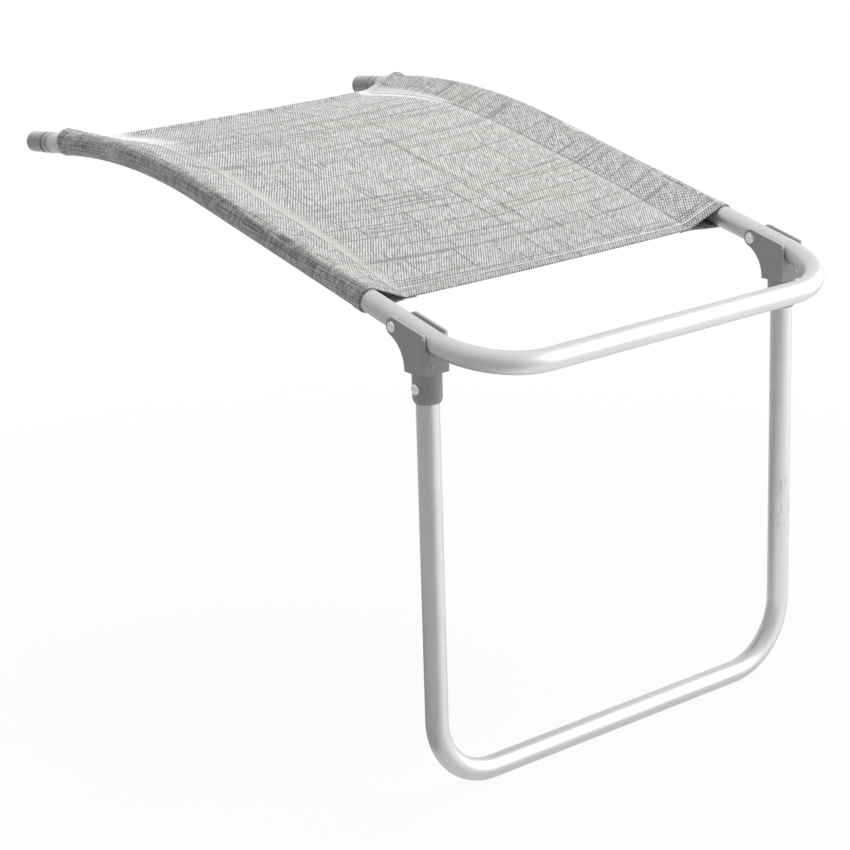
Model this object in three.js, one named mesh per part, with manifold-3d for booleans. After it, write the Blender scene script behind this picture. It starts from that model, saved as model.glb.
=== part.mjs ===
// A clip-on footrest for a folding garden chair, in millimetres, +Z up.
//
// A bent aluminium seat tube carries a mesh sling on its two rails. A U-shaped leg hangs on
// two moulded brackets that turn on a rivet through each rail, so the leg folds up under the
// sling. The plugs in the rails' rear ends go into the frame of the chair, which lies in +Y.
// The origin is the midpoint between the outer faces of those two plugs, +X is to the right.

import * as THREE from "three";
import { mergeVertices } from "three/addons/utils/BufferGeometryUtils.js";
import Module from "manifold-3d";

const wasm = await Module();
wasm.setup();

// Driving dimensions of the two tubes
const tubeDiameter = 22;
const tubeWall = 1.5;
const cornerWidth = 471; // between the rails' axes, where they would meet the front bar
const railTaper = 1; // degrees that each rail leans inwards towards the rear
const frontCornerRadius = 74;
const railSlope = 13.1; // degrees that the rails climb from the front bar
const rearVertexLength = 556; // along the rail, front bar to the middle of the rear bend
const rearBendRadius = 715;
const railDip = 5.7; // degrees that the rails' rear ends point downwards
const rearEndRun = 42; // straight length left behind the rear bend
const legHeight = 448; // pivot above the foot bar's axis
const legCornerRadius = 68;

// The pivot and the bracket that holds the leg under the rail
const pivotLength = 114.5; // along the rail from the front bar's axis
const pivotSetback = 29.5; // pivot behind the leg's plane
const bracketWidth = 30;
const blockHalfLength = 14;
const bracketDrop = 39; // pivot above the underside of the block
const cheekRadius = 8.8; // round end of each cheek, and the cheeks' height above the rail's axis
const cheekGap = 23.6;
const rearHollowRadius = 32;
const noseRadius = 1.5;
const collarDiameter = 28;
const collarLength = 28.5;
const collarChamfer = 4.3;
const collarLip = 1;
const legTopDrop = 27; // pivot above the leg tube's top end
const pipDiameter = 2.4;
const pipHeight = 0.8;
const pipOffset = 5.5; // outwards from the bracket's middle
const pipRise = 8; // above the underside of the block
const fit = 0.3; // clearance between pieces that touch

// Rivets
const rivetShank = 5;
const rivetHead = 10.4;
const rivetHeadHeight = 2;
const rivetTail = 8;
const rivetTailHeight = 1.6;
const rivetTailBore = 3;
const washerDiameter = 11.4;
const washerThickness = 0.8;
const legRivetDrop = 14; // below the underside of the block
const blindTail = 7;
const blindTailLength = 3;

// End plugs
const plugDiameter = 22.6;
const plugCollarLength = 7.3;
const plugGrooveLength = 4;
const plugGrooveDiameter = 20;
const plugNoseLength = 28.5;
const plugEdgeRadius = 3;
const plugShankLength = 18;

// Sling
const slingFront = 167.5; // along the rail from the front bar's axis
const slingRear = 688;
const clothThickness = 1;
const clothGap = 0.4;
const seamInset = 45; // seam inside the rail's axis
const seamWidth = 4;
const seamRise = 0.2; // seam above the rail's axis on the sling's level stretch
const seamDrop = 7; // how much lower the seam lies at the sling's front edge
const dropLength = 162; // over which it comes down to that
const panelSag = 1.2;

// Facets
const tubeSides = 20;
const turnSides = 24;
const smallSides = 16;
const cornerSteps = 8;
const rearSteps = 8;
const legSteps = 8;
const sleeveSteps = 12;
const panelSteps = 6;
const slingDropSteps = 5;
const slingBendSteps = 8;
const arcSteps = 5;
const overrun = 2; // how far a cutting shape runs past what it cuts

const tubeRadius = tubeDiameter / 2;
const boreRadius = tubeRadius - tubeWall;
const slope = THREE.MathUtils.degToRad(railSlope);
const dip = THREE.MathUtils.degToRad(railDip);
const taper = THREE.MathUtils.degToRad(railTaper);

// Materials

const anodised = { color: 0xc9c7c2, roughness: 0.32, metalness: 0.9 };
const moulding = { color: 0x7f7d7b, roughness: 0.55, metalness: 0 };
const plugPlastic = { color: 0x5f6062, roughness: 0.3, metalness: 0 };
const bright = { color: 0xdedede, roughness: 0.25, metalness: 1 };
const mesh = { color: 0xb9b8b2, roughness: 0.85, metalness: 0 };

// A path of straight runs with a bend at each inner corner. It has stations only where
// it needs them: at the ends of each straight run, and at equal turns round each bend.

class BentPath extends THREE.Curve {
  constructor(corners) {
    super();
    this.stations = [];
    this.addStation(corners[0].at, corners[1].at.clone().sub(corners[0].at).normalize());
    for (let i = 1; i < corners.length - 1; i += 1) {
      this.addBend(corners[i - 1].at, corners[i], corners[i + 1].at);
    }
    const last = corners.length - 1;
    const end = corners[last].at;
    this.addStation(end, end.clone().sub(corners[last - 1].at).normalize());
  }

  addStation(point, tangent) {
    this.stations.push({ point: point.clone(), tangent });
  }

  addBend(before, corner, after) {
    const into = corner.at.clone().sub(before).normalize();
    const out = after.clone().sub(corner.at).normalize();
    const turn = into.angleTo(out);
    const setback = corner.radius * Math.tan(turn / 2);
    const start = corner.at.clone().addScaledVector(into, -setback);
    const inward = out.clone().addScaledVector(into, -into.dot(out)).normalize();
    for (let k = 0; k <= corner.steps; k += 1) {
      const angle = (turn * k) / corner.steps;
      const point = start
        .clone()
        .addScaledVector(into, corner.radius * Math.sin(angle))
        .addScaledVector(inward, corner.radius * (1 - Math.cos(angle)));
      const tangent = into
        .clone()
        .multiplyScalar(Math.cos(angle))
        .addScaledVector(inward, Math.sin(angle));
      this.addStation(point, tangent);
    }
  }

  get steps() {
    return this.stations.length - 1;
  }

  getUtoTmapping(u) {
    return u;
  }

  getPoint(t, target = new THREE.Vector3()) {
    const place = THREE.MathUtils.clamp(t * this.steps, 0, this.steps);
    const low = Math.min(Math.floor(place), this.steps - 1);
    return target.lerpVectors(
      this.stations[low].point,
      this.stations[low + 1].point,
      place - low,
    );
  }

  getTangent(t, target = new THREE.Vector3()) {
    const place = THREE.MathUtils.clamp(t * this.steps, 0, this.steps);
    const low = Math.min(Math.floor(place), this.steps - 1);
    const near = this.stations[low].tangent;
    return target.lerpVectors(near, this.stations[low + 1].tangent, place - low).normalize();
  }
}

// Solids and booleans

function toSolid(geometry) {
  const plain = geometry.clone();
  for (const name of Object.keys(plain.attributes)) {
    if (name !== "position") {
      plain.deleteAttribute(name);
    }
  }
  const merged = mergeVertices(plain);
  const part = new wasm.Mesh({
    numProp: 3,
    vertProperties: new Float32Array(merged.attributes.position.array),
    triVerts: new Uint32Array(merged.index.array),
  });
  return new wasm.Manifold(part);
}

function toGeometry(solid) {
  const result = solid.getMesh();
  const geometry = new THREE.BufferGeometry();
  const positions = new Float32Array(result.numVert * 3);
  for (let i = 0; i < result.numVert; i += 1) {
    for (let axis = 0; axis < 3; axis += 1) {
      positions[i * 3 + axis] = result.vertProperties[i * result.numProp + axis];
    }
  }
  geometry.setAttribute("position", new THREE.BufferAttribute(positions, 3));
  geometry.setIndex(new THREE.BufferAttribute(new Uint32Array(result.triVerts), 1));
  geometry.computeVertexNormals();
  return geometry;
}

function cut(solid, ...tools) {
  return tools.reduce((rest, tool) => rest.subtract(toSolid(tool)), solid);
}

// A rod along X between two places, with its middle line through (y, z)
function rodAlongX(radius, from, to, y, z, sides) {
  const rod = new THREE.CylinderGeometry(radius, radius, Math.abs(to - from), sides);
  rod.rotateZ(Math.PI / 2);
  rod.translate((from + to) / 2, y, z);
  return rod;
}

function ring(radius, hole) {
  const outline = new THREE.Shape();
  outline.absarc(0, 0, radius, 0, Math.PI * 2);
  const inner = new THREE.Path();
  inner.absarc(0, 0, hole, 0, Math.PI * 2, true);
  outline.holes.push(inner);
  return outline;
}

function tubeAlong(path) {
  return new THREE.ExtrudeGeometry(ring(tubeRadius, boreRadius), {
    curveSegments: tubeSides / 2,
    steps: path.steps,
    extrudePath: path,
  });
}

// A lathe about X. The profile's points are [along X, radius], and its outside runs towards -X.
function turned(profile, sides) {
  const points = profile.map(([along, radius]) => new THREE.Vector2(radius, along)).reverse();
  const solid = new THREE.LatheGeometry(points, sides);
  solid.rotateZ(-Math.PI / 2);
  return solid;
}

function named(name, geometry, finish) {
  const piece = new THREE.Mesh(geometry, new THREE.MeshStandardMaterial(finish));
  piece.name = name;
  return piece;
}

// The rails: a place along one of them, with the direction that the rail runs there

const halfTurn = (slope + dip) / 2;
const bendSetback = rearBendRadius * Math.tan(halfTurn);
const bendStart = rearVertexLength - bendSetback;
const bendLength = rearBendRadius * 2 * halfTurn;

// (y, z) from the front bar's axis, and the heading above the level, at a length along the rail
function railAt(length) {
  if (length <= bendStart) {
    return { y: length * Math.cos(slope), z: length * Math.sin(slope), heading: slope };
  }
  const turn = Math.min((length - bendStart) / rearBendRadius, 2 * halfTurn);
  const rest = Math.max(length - bendStart - bendLength, 0);
  const heading = slope - turn;
  return {
    y:
      bendStart * Math.cos(slope) +
      rearBendRadius * (Math.sin(slope) - Math.sin(heading)) +
      rest * Math.cos(dip),
    z:
      bendStart * Math.sin(slope) +
      rearBendRadius * (Math.cos(heading) - Math.cos(slope)) -
      rest * Math.sin(dip),
    heading,
  };
}

function railX(y) {
  return cornerWidth / 2 - y * Math.tan(taper);
}

// Places from here on are from the front bar's axis: y to the rear, z up
const pivot = railAt(pivotLength);
const legY = pivot.y - pivotSetback;
const footZ = pivot.z - legHeight;
const blockBottom = pivot.z - bracketDrop;
const legX = railX(legY + blockHalfLength / 2);

function seatTube() {
  const vertex = {
    y: rearVertexLength * Math.cos(slope),
    z: rearVertexLength * Math.sin(slope),
  };
  const endY = vertex.y + (bendSetback + rearEndRun) * Math.cos(dip);
  const endZ = vertex.z - (bendSetback + rearEndRun) * Math.sin(dip);
  const rear = (side) => new THREE.Vector3(side * railX(endY), endY, endZ);
  const bend = (side) => ({
    at: new THREE.Vector3(side * railX(vertex.y), vertex.y, vertex.z),
    radius: rearBendRadius,
    steps: rearSteps,
  });
  const corner = (side) => ({
    at: new THREE.Vector3(side * railX(0), 0, 0),
    radius: frontCornerRadius,
    steps: cornerSteps,
  });
  const path = new BentPath([
    { at: rear(-1) },
    bend(-1),
    corner(-1),
    corner(1),
    bend(1),
    { at: rear(1) },
  ]);
  const hole = (side) => {
    const x = railX(pivot.y);
    return rodAlongX(
      rivetShank / 2 + fit,
      side * (x - tubeDiameter),
      side * (x + tubeDiameter),
      pivot.y,
      pivot.z,
      smallSides,
    );
  };
  const drilled = cut(toSolid(tubeAlong(path)), hole(-1), hole(1));
  return { piece: named("seat_tube", toGeometry(drilled), anodised), path };
}

function legTube() {
  const top = pivot.z - legTopDrop;
  const at = (x, z) => new THREE.Vector3(x, legY, z);
  const foot = (side) => ({
    at: at(side * legX, footZ),
    radius: legCornerRadius,
    steps: legSteps,
  });
  const path = new BentPath([{ at: at(-legX, top) }, foot(-1), foot(1), { at: at(legX, top) }]);
  const hole = (side) =>
    rodAlongX(
      rivetShank / 2 + fit,
      side * legX,
      side * (legX + tubeDiameter),
      legY,
      blockBottom - legRivetDrop,
      smallSides,
    );
  const drilled = cut(toSolid(tubeAlong(path)), hole(-1), hole(1));
  return named("leg_tube", toGeometry(drilled), anodised);
}

// The bracket is drawn from the side about its pivot: y to the rear, z up.

function bracketOutline() {
  const front = -pivotSetback - blockHalfLength;
  const rear = -pivotSetback + blockHalfLength;
  const bottom = -bracketDrop;
  const up = new THREE.Vector2(-Math.sin(slope), Math.cos(slope));
  const along = new THREE.Vector2(Math.cos(slope), Math.sin(slope));
  const topAt = (y) => (cheekRadius + y * Math.sin(slope)) / Math.cos(slope);

  // The hollow runs on from the cheek's round end and into the block's rear face.
  const reach = rear + rearHollowRadius;
  const apart = cheekRadius + rearHollowRadius;
  const hollow = new THREE.Vector2(reach, -Math.sqrt(apart ** 2 - reach ** 2));
  const meeting = Math.atan2(hollow.y, hollow.x);
  const below = Math.max(bottom - hollow.y, 0);
  const rim = Math.PI - Math.asin(below / rearHollowRadius);

  const outline = new THREE.Shape();
  outline.moveTo(hollow.x + rearHollowRadius * Math.cos(rim), bottom);
  outline.lineTo(front, bottom);
  outline.lineTo(front, topAt(front) - noseRadius);
  outline.quadraticCurveTo(
    front,
    topAt(front),
    front + noseRadius * along.x,
    topAt(front + noseRadius * along.x),
  );
  outline.lineTo(up.x * cheekRadius, up.y * cheekRadius);
  outline.absarc(0, 0, cheekRadius, Math.PI / 2 + slope, meeting, true);
  outline.absarc(hollow.x, hollow.y, rearHollowRadius, meeting + Math.PI, rim, false);
  return outline;
}

// The side outline runs through the bracket's width, centred on the leg.
function bracketBlank() {
  const blank = new THREE.ExtrudeGeometry(bracketOutline(), {
    depth: bracketWidth,
    bevelEnabled: false,
    curveSegments: arcSteps,
  });
  blank.translate(0, 0, -bracketWidth / 2);
  blank.rotateY(Math.PI / 2);
  blank.rotateX(Math.PI / 2);
  return blank;
}

// The trough that the rail lies in, open upwards
function railTrough() {
  const half = cheekGap / 2;
  const floor = -tubeRadius - fit;
  const trough = new THREE.Shape();
  const top = cheekRadius + tubeRadius;
  trough.moveTo(-half, top);
  trough.lineTo(-half, floor + half);
  trough.absarc(0, floor + half, half, Math.PI, Math.PI * 2, false);
  trough.lineTo(half, top);
  const reach = pivotSetback + bracketWidth + tubeDiameter;
  const body = new THREE.ExtrudeGeometry(trough, {
    depth: 2 * reach,
    bevelEnabled: false,
    curveSegments: arcSteps,
  });
  body.translate(0, 0, -reach);
  body.rotateX(Math.PI / 2);
  body.rotateX(slope);
  return body;
}

// Between the cheeks nothing stands behind the block, which lets the leg swing past the rail.
function forkSlot() {
  const rear = -pivotSetback + blockHalfLength;
  const length = rearHollowRadius + cheekRadius + overrun;
  const height = bracketDrop + tubeDiameter;
  const slot = new THREE.BoxGeometry(cheekGap, length, height);
  slot.translate(0, rear + length / 2, height / 2 - bracketDrop - overrun);
  return slot;
}

function collar() {
  const bottom = -bracketDrop - collarLength;
  const outer = collarDiameter / 2;
  const bore = tubeRadius + fit;
  const top = -bracketDrop + overrun;
  const profile = [
    [bore, bottom],
    [bore + collarLip, bottom],
    [outer, bottom + collarChamfer],
    [outer, top],
    [bore, top],
    [bore, bottom],
  ];
  const points = profile.map(([radius, z]) => new THREE.Vector2(radius, z));
  const body = new THREE.LatheGeometry(points, turnSides);
  body.rotateX(Math.PI / 2);
  body.translate(0, -pivotSetback, 0);
  return body;
}

function socketBore() {
  const top = -legTopDrop + fit;
  const bottom = -bracketDrop - collarLength - overrun;
  const radius = tubeRadius + fit;
  const bore = new THREE.CylinderGeometry(radius, radius, top - bottom, turnSides);
  bore.rotateX(Math.PI / 2);
  bore.translate(0, -pivotSetback, (top + bottom) / 2);
  return bore;
}

function pip(side) {
  const front = -pivotSetback - blockHalfLength;
  const length = pipHeight + overrun;
  const body = new THREE.CylinderGeometry(pipDiameter / 2, pipDiameter / 2, length, smallSides);
  body.translate(side * pipOffset, front + length / 2 - pipHeight, pipRise - bracketDrop);
  return body;
}

function bracket(name, side) {
  const halfWidth = bracketWidth / 2 + overrun;
  const hole = rivetShank / 2 + fit;
  const pivotHole = rodAlongX(hole, -halfWidth, halfWidth, 0, 0, smallSides);
  const rivetHole = rodAlongX(
    hole,
    0,
    side * halfWidth,
    -pivotSetback,
    -bracketDrop - legRivetDrop,
    smallSides,
  );
  const block = cut(toSolid(bracketBlank()), railTrough(), forkSlot());
  const body = cut(block.add(toSolid(pip(side))), socketBore());
  const whole = cut(body.add(toSolid(collar())), pivotHole, rivetHole);
  const piece = named(name, toGeometry(whole), moulding);
  piece.position.set(side * legX, pivot.y, pivot.z);
  return piece;
}

// Rivets are turned about X, with the head's underside at zero and the shank towards -X.

function domeProfile() {
  const points = [];
  for (let k = 0; k <= arcSteps; k += 1) {
    const angle = (Math.PI / 2) * (k / arcSteps);
    points.push([rivetHeadHeight * Math.cos(angle), (rivetHead / 2) * Math.sin(angle)]);
  }
  return points;
}

function throughRivet(name, side) {
  const tail = -bracketWidth - 2 * fit - washerThickness - fit;
  const end = tail - rivetTailHeight;
  const body = turned(
    [
      ...domeProfile(),
      [0, rivetShank / 2],
      [tail, rivetShank / 2],
      [tail, rivetTail / 2],
      [end + rivetTailHeight / 2, rivetTail / 2],
      [end, rivetShank / 2],
      [end, rivetTailBore / 2],
      [tail, rivetTailBore / 2],
      [tail, 0],
    ],
    turnSides,
  );
  const piece = named(name, body, bright);
  piece.position.set(side * (legX + bracketWidth / 2 + fit), pivot.y, pivot.z);
  piece.rotation.z = side > 0 ? 0 : Math.PI;
  return piece;
}

function blindRivet(name, side) {
  // The tail clears the tube's round inside at its own rim.
  const rimReach = Math.sqrt(boreRadius ** 2 - (blindTail / 2) ** 2);
  const tail = rimReach * Math.cos(Math.PI / tubeSides) - collarDiameter / 2 - 2 * fit;
  const body = turned(
    [
      ...domeProfile(),
      [0, rivetShank / 2],
      [tail, rivetShank / 2],
      [tail, blindTail / 2],
      [tail - blindTailLength / 2, blindTail / 2],
      [tail - blindTailLength, rivetShank / 2],
      [tail - blindTailLength, 0],
    ],
    turnSides,
  );
  const piece = named(name, body, bright);
  const z = blockBottom - legRivetDrop;
  piece.position.set(side * (legX + collarDiameter / 2 + fit), legY, z);
  piece.rotation.z = side > 0 ? 0 : Math.PI;
  return piece;
}

function washer(name, side) {
  const hole = rivetShank / 2 + fit;
  const body = turned(
    [
      [-washerThickness / 2, hole],
      [washerThickness / 2, hole],
      [washerThickness / 2, washerDiameter / 2],
      [-washerThickness / 2, washerDiameter / 2],
      [-washerThickness / 2, hole],
    ],
    turnSides,
  );
  const piece = named(name, body, bright);
  const inside = legX - bracketWidth / 2 - fit - washerThickness / 2;
  piece.position.set(side * inside, pivot.y, pivot.z);
  return piece;
}

// An end plug is turned about X, with the tube's end at zero and the nose towards +X.

const plugReach = fit + plugCollarLength + plugGrooveLength + plugNoseLength;

function endPlug(name, seatPath, side) {
  const outer = plugDiameter / 2;
  const groove = plugGrooveDiameter / 2;
  const grooveFrom = fit + plugCollarLength;
  const noseFrom = grooveFrom + plugGrooveLength;
  const edge = [];
  for (let k = 0; k <= arcSteps; k += 1) {
    const angle = (Math.PI / 2) * (k / arcSteps);
    edge.push([
      plugReach - plugEdgeRadius * (1 - Math.cos(angle)),
      outer - plugEdgeRadius * (1 - Math.sin(angle)),
    ]);
  }
  const body = turned(
    [
      [plugReach, 0],
      ...edge,
      [noseFrom, outer],
      [noseFrom, groove],
      [grooveFrom, groove],
      [grooveFrom, outer],
      [fit, outer],
      [fit, boreRadius - fit],
      [-plugShankLength, boreRadius - fit],
      [-plugShankLength, 0],
    ],
    turnSides,
  );
  const piece = named(name, body, plugPlastic);
  const end = seatPath.getPoint(side < 0 ? 0 : 1);
  const outward = seatPath.getTangent(side < 0 ? 0 : 1).multiplyScalar(side);
  piece.position.copy(end);
  piece.quaternion.setFromUnitVectors(new THREE.Vector3(1, 0, 0), outward);
  return piece;
}

// The sling is lofted through sections square to the rails. Each side of a section is a
// pocket: the cloth goes round the rail and its two layers meet at a seam further in.

function seamHeight(length) {
  const share = Math.max((slingFront + dropLength - length) / dropLength, 0);
  return seamRise - seamDrop * share * share;
}

// One side's cloth round the rail, at a radius: from under the seam, round the outside, to its top
function pocketLoop(side, centre, seam, radius, seamPoints) {
  const reach = Math.hypot(seamInset, seam);
  const towards = Math.atan2(seam, seamInset);
  const spread = Math.PI - Math.acos(radius / reach);
  const loop = [seamPoints[0]];
  for (let k = 0; k <= sleeveSteps; k += 1) {
    const angle = spread * ((2 * k) / sleeveSteps - 1) - towards;
    loop.push([centre + radius * Math.cos(angle), radius * Math.sin(angle)]);
  }
  loop.push(...seamPoints.slice(1));
  return loop.map(([x, h]) => new THREE.Vector2(side * x, h));
}

function slingSection(length) {
  const centre = railX(railAt(length).y);
  const seam = seamHeight(length);
  const half = clothThickness / 2;
  const seamX = centre - seamInset;
  const outer = (side) =>
    pocketLoop(side, centre, seam, tubeRadius + clothGap + clothThickness, [
      [seamX, seam - half],
      [seamX, seam + half],
    ]);
  const inner = (side) =>
    pocketLoop(side, centre, seam, tubeRadius + clothGap, [[seamX + seamWidth, seam]]);
  const panel = (offset) => {
    const row = [];
    for (let k = 1; k < panelSteps; k += 1) {
      const share = (2 * k) / panelSteps - 1;
      row.push(new THREE.Vector2(seamX * share, seam - panelSag * (1 - share * share) + offset));
    }
    return row;
  };
  const right = outer(1);
  const left = outer(-1).reverse();
  return {
    contour: [...panel(-half), ...right, ...panel(half).reverse(), ...left],
    holes: [inner(1).reverse(), inner(-1)],
  };
}

function sling() {
  const lengths = [];
  for (let k = 0; k < slingDropSteps; k += 1) {
    lengths.push(slingFront + (dropLength * k) / slingDropSteps);
  }
  lengths.push(slingFront + dropLength);
  for (let k = 0; k <= slingBendSteps; k += 1) {
    lengths.push(bendStart + ((slingRear - bendStart) * k) / slingBendSteps);
  }
  const sections = lengths.map(slingSection);
  const positions = [];
  sections.forEach((section, row) => {
    const { y, z, heading } = railAt(lengths[row]);
    for (const point of [section.contour, ...section.holes].flat()) {
      positions.push(
        point.x,
        y - point.y * Math.sin(heading),
        z + point.y * Math.cos(heading),
      );
    }
  });
  const loops = [sections[0].contour, ...sections[0].holes];
  const rowSize = loops.flat().length;
  const faces = [];
  for (let row = 0; row < sections.length - 1; row += 1) {
    let first = row * rowSize;
    for (const loop of loops) {
      for (let i = 0; i < loop.length; i += 1) {
        const a = first + i;
        const b = first + ((i + 1) % loop.length);
        faces.push(a, a + rowSize, b, b, a + rowSize, b + rowSize);
      }
      first += loop.length;
    }
  }
  const lastRow = (sections.length - 1) * rowSize;
  const end = sections[sections.length - 1];
  for (const [a, b, c] of THREE.ShapeUtils.triangulateShape(loops[0], loops.slice(1))) {
    faces.push(a, b, c);
  }
  for (const [a, b, c] of THREE.ShapeUtils.triangulateShape(end.contour, end.holes)) {
    faces.push(lastRow + a, lastRow + c, lastRow + b);
  }
  const body = new THREE.BufferGeometry();
  body.setAttribute("position", new THREE.Float32BufferAttribute(positions, 3));
  body.setIndex(faces);
  body.computeVertexNormals();
  return named("sling", body, mesh);
}

// The footrest, moved so that the origin is midway between the plugs' end faces

const footrest = new THREE.Group();
const seat = seatTube();
footrest.add(seat.piece, legTube(), sling());
for (const [word, side] of [
  ["left", -1],
  ["right", 1],
]) {
  footrest.add(
    bracket(`${word}_bracket`, side),
    throughRivet(`${word}_pivot_rivet`, side),
    washer(`${word}_pivot_washer`, side),
    blindRivet(`${word}_leg_rivet`, side),
    endPlug(`${word}_end_plug`, seat.path, side),
  );
}
const faceCentre = seat.path
  .getPoint(1)
  .addScaledVector(seat.path.getTangent(1), plugReach);
footrest.position.set(0, -faceCentre.y, -faceCentre.z);

export default footrest;
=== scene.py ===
"""Clip-on footrest for a folding garden chair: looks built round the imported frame.

Sizes are in millimetres from the front bar's axis (y to the rear, z up) until a mesh is
made, when they turn into metres in the frame's own coordinates.
"""

import math

import bpy
import numpy as np
from mathutils import Matrix, Vector


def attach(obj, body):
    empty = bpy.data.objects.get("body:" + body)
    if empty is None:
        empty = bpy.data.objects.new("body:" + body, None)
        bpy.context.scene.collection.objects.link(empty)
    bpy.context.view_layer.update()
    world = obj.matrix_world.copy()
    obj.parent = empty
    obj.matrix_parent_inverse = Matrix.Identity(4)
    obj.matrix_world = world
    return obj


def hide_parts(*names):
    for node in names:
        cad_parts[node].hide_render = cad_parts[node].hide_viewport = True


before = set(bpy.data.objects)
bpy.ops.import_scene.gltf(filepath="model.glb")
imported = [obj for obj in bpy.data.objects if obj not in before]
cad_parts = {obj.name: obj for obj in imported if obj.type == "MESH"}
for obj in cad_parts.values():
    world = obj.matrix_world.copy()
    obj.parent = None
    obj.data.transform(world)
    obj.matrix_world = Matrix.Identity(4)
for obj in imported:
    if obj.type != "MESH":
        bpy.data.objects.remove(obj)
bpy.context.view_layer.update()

MM = 0.001
SIDES = (("left", -1), ("right", 1))

# Where the front bar's axis lies in the frame, and the sizes that the solids were made with
FRONT_BAR = np.array([0.0, -741.001, -106.108])
TUBE_RADIUS = 11.0
BORE_RADIUS = 9.5
CORNER_WIDTH = 471.0
TAPER = math.radians(1.0)
SLOPE = math.radians(13.1)
DIP = math.radians(5.7)
FRONT_CORNER_RADIUS = 74.0
REAR_VERTEX = 556.0
REAR_BEND_RADIUS = 715.0
REAR_END_RUN = 42.0
LEG_HEIGHT = 448.0
LEG_CORNER_RADIUS = 68.0
PIVOT_LENGTH = 114.5
PIVOT_SETBACK = 29.5
BLOCK_HALF_LENGTH = 14.0
BLOCK_DROP = 39.0
BRACKET_HALF_WIDTH = 15.0
CHEEK_GAP = 23.6
NOSE_TIP = -3.5
PIP_OFFSET = 5.5
PIP_RISE = 8.0
COLLAR_RADIUS = 14.0
LEG_TOP_DROP = 27.0
LEG_RIVET_DROP = 14.0
FIT = 0.3
SLING_FRONT = 167.5
SLING_REAR = 688.0
SEAM_INSET = 45.0
SEAM_RISE = 0.2
SEAM_DROP = 7.0
SEAM_DROP_LENGTH = 162.0

# The rails: a place along one of them and the direction that it runs there

BEND_SETBACK = REAR_BEND_RADIUS * math.tan((SLOPE + DIP) / 2)
BEND_START = REAR_VERTEX - BEND_SETBACK
BEND_LENGTH = REAR_BEND_RADIUS * (SLOPE + DIP)


def rail_at(length):
    """(y, z, heading) from the front bar's axis, at a length along the rail."""
    if length <= BEND_START:
        return length * math.cos(SLOPE), length * math.sin(SLOPE), SLOPE
    turn = min((length - BEND_START) / REAR_BEND_RADIUS, SLOPE + DIP)
    rest = max(length - BEND_START - BEND_LENGTH, 0.0)
    heading = SLOPE - turn
    y = BEND_START * math.cos(SLOPE) + rest * math.cos(DIP)
    z = BEND_START * math.sin(SLOPE) - rest * math.sin(DIP)
    y += REAR_BEND_RADIUS * (math.sin(SLOPE) - math.sin(heading))
    z += REAR_BEND_RADIUS * (math.cos(heading) - math.cos(SLOPE))
    return y, z, heading


def rail_x(y):
    return CORNER_WIDTH / 2 - y * math.tan(TAPER)


PIVOT_Y, PIVOT_Z, _ = rail_at(PIVOT_LENGTH)
LEG_Y = PIVOT_Y - PIVOT_SETBACK
FOOT_Z = PIVOT_Z - LEG_HEIGHT
LEG_X = rail_x(LEG_Y + BLOCK_HALF_LENGTH / 2)


def smooth(low, high, value):
    share = np.clip((value - low) / (high - low), 0.0, 1.0)
    return share * share * (3 - 2 * share)


def unit(vector):
    return vector / np.linalg.norm(vector)


def way_along(points):
    """How far each point lies along the line through all of them."""
    return np.concatenate([[0.0], np.cumsum(np.linalg.norm(np.diff(points, axis=0), axis=1))])


def add_object(name, data):
    made = bpy.data.objects.new(name, data)
    bpy.context.scene.collection.objects.link(made)
    return made


def grid_faces(rows, columns, closed_rows=False, closed_columns=False, base=0):
    """Quads between neighbouring rows of points."""
    faces = []
    for row in range(rows if closed_rows else rows - 1):
        after = (row + 1) % rows
        for k in range(columns if closed_columns else columns - 1):
            right = (k + 1) % columns
            corners = ((row, k), (row, right), (after, right), (after, k))
            faces.append(tuple(base + i * columns + j for i, j in corners))
    return faces


def add_mesh(name, verts, faces):
    mesh = bpy.data.meshes.new(name)
    mesh.from_pydata(verts, [], faces)
    return mesh


# ---------------------------------------------------------------- camera

AZIMUTH, ELEVATION, ROLL = -0.6926, 0.3054, -0.0293
FOCAL_PIXELS, PICTURE_PIXELS, SENSOR_MM = 2625.5, 850.0, 36.0
DISTANCE, ASIDE, ABOVE = 2623.7, -191.73, 291.77
# The camera was placed from the middle of the leg's foot bar
FOOT_BAR = FRONT_BAR + np.array([0.0, LEG_Y, FOOT_Z])


def add_camera():
    level = np.array([math.sin(AZIMUTH), -math.cos(AZIMUTH), 0.0])
    back = level * math.cos(ELEVATION) + np.array([0.0, 0.0, math.sin(ELEVATION)])
    right = np.array([math.cos(AZIMUTH), math.sin(AZIMUTH), 0.0])
    up = np.cross(back, right)
    right, up = (
        right * math.cos(ROLL) + up * math.sin(ROLL),
        up * math.cos(ROLL) - right * math.sin(ROLL),
    )
    place = FOOT_BAR + DISTANCE * back + ASIDE * right + ABOVE * up
    data = bpy.data.cameras.new("camera")
    data.sensor_width = SENSOR_MM
    data.lens = SENSOR_MM * FOCAL_PIXELS / PICTURE_PIXELS
    camera = add_object("camera", data)
    turn = Matrix(np.column_stack([right, up, back]).tolist()).to_4x4()
    camera.matrix_world = Matrix.Translation(place * MM) @ turn
    bpy.context.scene.camera = camera


add_camera()

# ---------------------------------------------------------------- node helpers


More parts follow.
